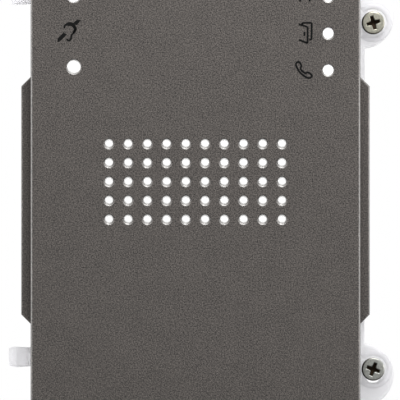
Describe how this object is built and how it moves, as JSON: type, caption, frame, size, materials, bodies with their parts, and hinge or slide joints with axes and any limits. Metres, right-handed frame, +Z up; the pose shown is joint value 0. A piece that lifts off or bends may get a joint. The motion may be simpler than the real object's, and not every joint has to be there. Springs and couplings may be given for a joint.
{
  "type": "door intercom speech module",
  "caption": "Square grey door intercom speech module with a dotted sound field, status lights, side hooks and captive frame screws, and a terminal bay behind.",
  "frame": {"origin": "centre of the flat back of the rear cover", "axes": "+Z up the face, +X to the right as a caller sees it, +Y out of the back, so the face looks along -Y"},
  "size_m": [0.1006, 0.032, 0.12],
  "materials": {
    "plate_paint": "fine textured warm grey coat",
    "frosted_plastic": "frosted, lets light through",
    "cover_plastic": "pale grey, lightly grained",
    "membrane_fleece": "bright white fleece",
    "opal_plastic": "white, lets light through",
    "sealing_foam": "closed cell foam",
    "boot_rubber": "soft matt rubber",
    "olive_zinc": "zinc plated, olive cast",
    "bright_zinc": "zinc plated, worn",
    "screw_steel": "zinc plated",
    "washer_plastic": "natural nylon",
    "basket_steel": "pressed sheet",
    "pole_steel": "zinc plated",
    "ferrite": "sintered, dark grey",
    "cone_paper": "pressed black paper",
    "surround_rubber": "thin roll",
    "damper_cloth": "resin dipped cotton",
    "coil_copper": "enamelled copper wire",
    "board_laminate": "green solder mask",
    "chip_plastic": "moulded black",
    "capacitor_sleeve": "shrink sleeve",
    "transformer_tape": "yellow tape over a ferrite core",
    "lamp_resin": "clear resin",
    "contact_metal": "gold flashed",
    "capsule_metal": "drawn can",
    "terminal_plastic": "green moulded",
    "socket_plastic": "black moulded",
    "trimmer_plastic": "blue moulded",
    "rotor_plastic": "white moulded",
    "button_plastic": "red moulded"
  },
  "bodies": {
    "root": {"front_plate": "plate_paint", "carrier": "frosted_plastic", "front_seal": "sealing_foam", "membrane_seal": "sealing_foam", "rear_seal": "sealing_foam", "speaker_seal": "sealing_foam", "grille_membrane": "membrane_fleece", "microphone_membrane": "membrane_fleece", "speaker_basket": "basket_steel", "speaker_top_plate": "pole_steel", "speaker_magnet": "ferrite", "speaker_yoke": "pole_steel", "speaker_surround": "surround_rubber", "speaker_damper": "damper_cloth", "speaker_clamp": "cover_plastic", "housing_screws": "screw_steel", "plate_screws": "screw_steel", "speaker_clamp_screws": "screw_steel", "circuit_board": "board_laminate", "status_lamps": "lamp_resin", "light_sensor": "lamp_resin", "capacitors": "capacitor_sleeve", "line_transformer": "transformer_tape", "controller_chip": "chip_plastic", "amplifier_chip": "chip_plastic", "speaker_contacts": "contact_metal", "status_light_guide": "opal_plastic", "light_sensor_window": "opal_plastic", "microphone_boot": "boot_rubber", "microphone_capsule": "capsule_metal", "microphone_pins": "contact_metal", "hearing_loop_coil": "coil_copper", "rear_cover": "cover_plastic", "terminal_header": "terminal_plastic", "line_socket": "socket_plastic", "speaker_trimmer_body": "trimmer_plastic", "microphone_trimmer_body": "trimmer_plastic", "setup_button_body": "socket_plastic"},
    "frame_screw_top": {"frame_screw_top": "olive_zinc", "retaining_washer_top": "washer_plastic"},
    "frame_screw_bottom": {"frame_screw_bottom": "bright_zinc", "retaining_washer_bottom": "washer_plastic"},
    "speaker_cone": {"speaker_cone": "cone_paper", "speaker_dust_cap": "cone_paper", "speaker_voice_coil": "coil_copper"},
    "speaker_trimmer": {"speaker_trimmer_rotor": "rotor_plastic"},
    "microphone_trimmer": {"microphone_trimmer_rotor": "rotor_plastic"},
    "setup_button": {"setup_button_cap": "button_plastic"},
    "terminal_plug": {"terminal_plug": "terminal_plastic"},
    "terminal_screw_1": {"terminal_screw_1": "screw_steel"},
    "terminal_screw_2": {"terminal_screw_2": "screw_steel"},
    "terminal_screw_3": {"terminal_screw_3": "screw_steel"},
    "terminal_screw_4": {"terminal_screw_4": "screw_steel"}
  },
  "joints": [
    {"name": "frame_screw_top_turn", "type": "hinge", "parent": "root", "child": "frame_screw_top", "pos_m": [0.0464, -0.026, 0.0464], "axis": [0, -1, 0], "continuous": true},
    {"name": "frame_screw_bottom_turn", "type": "hinge", "parent": "root", "child": "frame_screw_bottom", "pos_m": [0.0464, -0.026, -0.0441], "axis": [0, -1, 0], "continuous": true},
    {"name": "speaker_cone_stroke", "type": "slide", "parent": "root", "child": "speaker_cone", "axis": [0, -1, 0], "range_m": [-0.0004, 0.0004], "stiffness_N_per_m": 800},
    {"name": "speaker_volume_turn", "type": "hinge", "parent": "root", "child": "speaker_trimmer", "pos_m": [0.001, -0.0084, -0.027], "axis": [0, 1, 0], "range_deg": [-135, 135]},
    {"name": "microphone_level_turn", "type": "hinge", "parent": "root", "child": "microphone_trimmer", "pos_m": [0.01, -0.0084, -0.027], "axis": [0, 1, 0], "range_deg": [-135, 135]},
    {"name": "setup_button_press", "type": "slide", "parent": "root", "child": "setup_button", "axis": [0, -1, 0], "range_m": [0, 0.0004], "stiffness_N_per_m": 2500},
    {"name": "terminal_plug_pull", "type": "slide", "parent": "root", "child": "terminal_plug", "axis": [0, 1, 0], "range_m": [0, 0.0075]},
    {"name": "terminal_screw_1_turn", "type": "hinge", "parent": "terminal_plug", "child": "terminal_screw_1", "pos_m": [-0.0075, -0.002, -0.0425], "axis": [0, 1, 0], "continuous": true},
    {"name": "terminal_screw_2_turn", "type": "hinge", "parent": "terminal_plug", "child": "terminal_screw_2", "pos_m": [-0.0025, -0.002, -0.0425], "axis": [0, 1, 0], "continuous": true},
    {"name": "terminal_screw_3_turn", "type": "hinge", "parent": "terminal_plug", "child": "terminal_screw_3", "pos_m": [0.0025, -0.002, -0.0425], "axis": [0, 1, 0], "continuous": true},
    {"name": "terminal_screw_4_turn", "type": "hinge", "parent": "terminal_plug", "child": "terminal_screw_4", "pos_m": [0.0075, -0.002, -0.0425], "axis": [0, 1, 0], "continuous": true}
  ]
}
